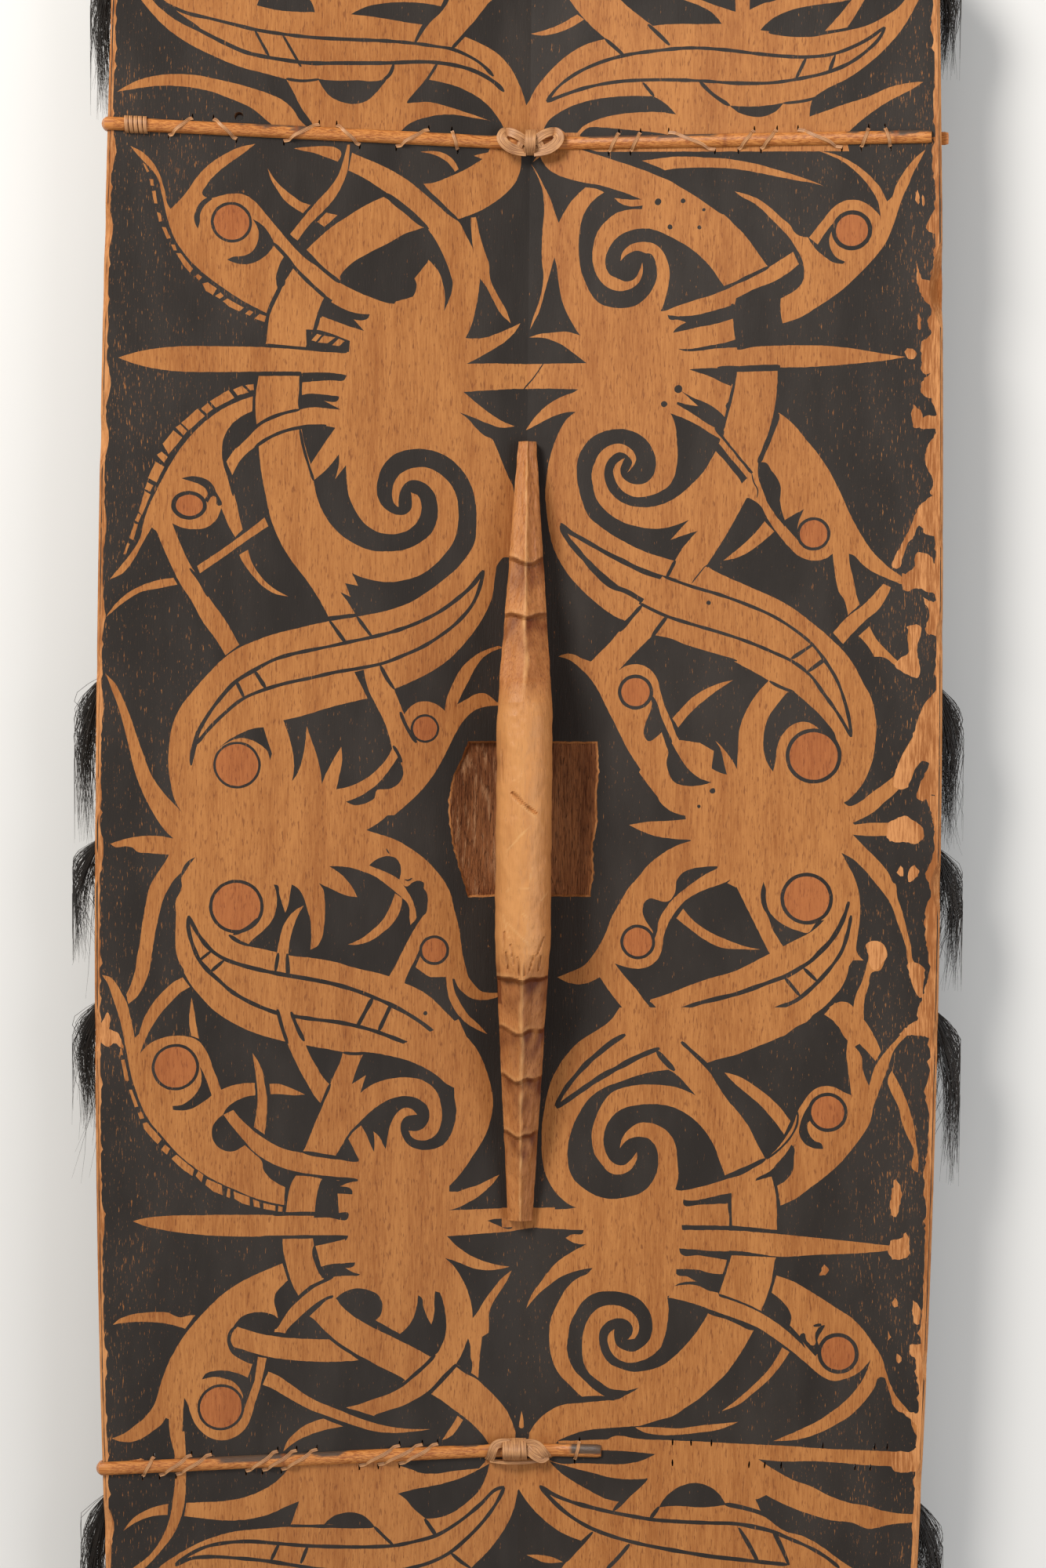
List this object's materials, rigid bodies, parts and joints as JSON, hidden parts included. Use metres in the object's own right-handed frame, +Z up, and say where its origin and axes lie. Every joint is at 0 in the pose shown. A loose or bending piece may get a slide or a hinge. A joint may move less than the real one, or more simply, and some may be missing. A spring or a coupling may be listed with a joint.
{
  "type": "dayak war shield",
  "caption": "Long wooden war shield lying on its keel, its back up, with a handle carved from the plank, two laced canes and rows of hair on the front.",
  "frame": {"origin": "on the surface that the shield lies on, below the middle of its length and width", "axes": "+Y along the length towards the upper end, +X across to the right seen from the back, +Z up out of the back"},
  "size_m": [0.458, 1.24, 0.065],
  "materials": {
    "carved_wood": "warm brown plank, black paint on both faces, worn along the rims",
    "split_cane": "golden split rattan, smudged with black",
    "dark_hair": "straight dark hair, dull sheen"
  },
  "bodies": {
    "root": {"shield_board": "carved_wood", "upper_cane": "split_cane", "lower_cane": "split_cane", "upper_knot": "split_cane", "lower_knot": "split_cane", "upper_binding": "split_cane", "lacing_upper_left": "split_cane", "lacing_upper_right": "split_cane", "lacing_lower_left": "split_cane", "lacing_lower_right": "split_cane", "hair_row_1_left": "dark_hair", "hair_row_1_right": "dark_hair", "hair_row_2_left": "dark_hair", "hair_row_2_right": "dark_hair", "hair_row_3_left": "dark_hair", "hair_row_3_right": "dark_hair", "hair_row_4_left": "dark_hair", "hair_row_4_right": "dark_hair", "hair_row_5_left": "dark_hair", "hair_row_5_right": "dark_hair"}
  },
  "joints": []
}
